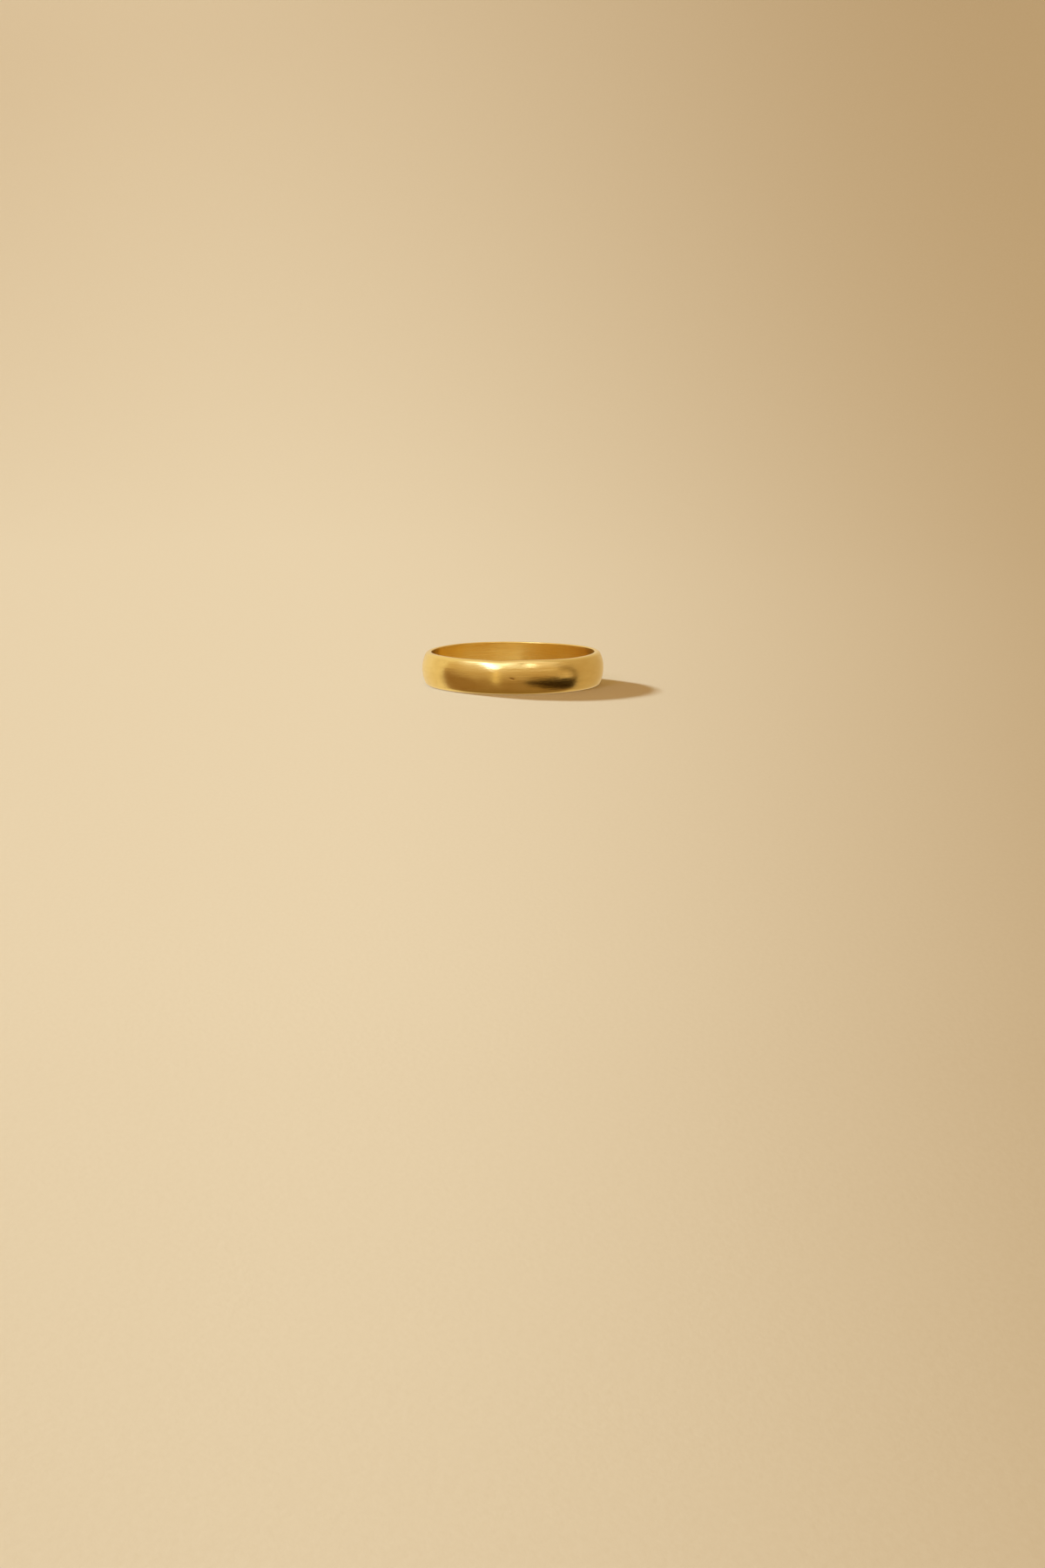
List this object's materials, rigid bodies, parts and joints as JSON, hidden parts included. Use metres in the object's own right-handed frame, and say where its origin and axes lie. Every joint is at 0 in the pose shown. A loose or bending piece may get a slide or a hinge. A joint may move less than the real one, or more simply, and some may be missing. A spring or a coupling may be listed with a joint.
{
  "type": "ring",
  "caption": "Plain finger ring: a half-round band with a domed outside, a straight inside and narrow rounded rims, lying on one rim.",
  "frame": {"origin": "centre of the rim that the ring rests on", "axes": "+Z along the ring's axis and up, +X to the ring's right, +Y away from its front"},
  "size_m": [0.0216, 0.0216, 0.004],
  "materials": {
    "gold": "softly brushed yellow gold, a little worn"
  },
  "bodies": {
    "root": {"band": "gold"}
  },
  "joints": []
}
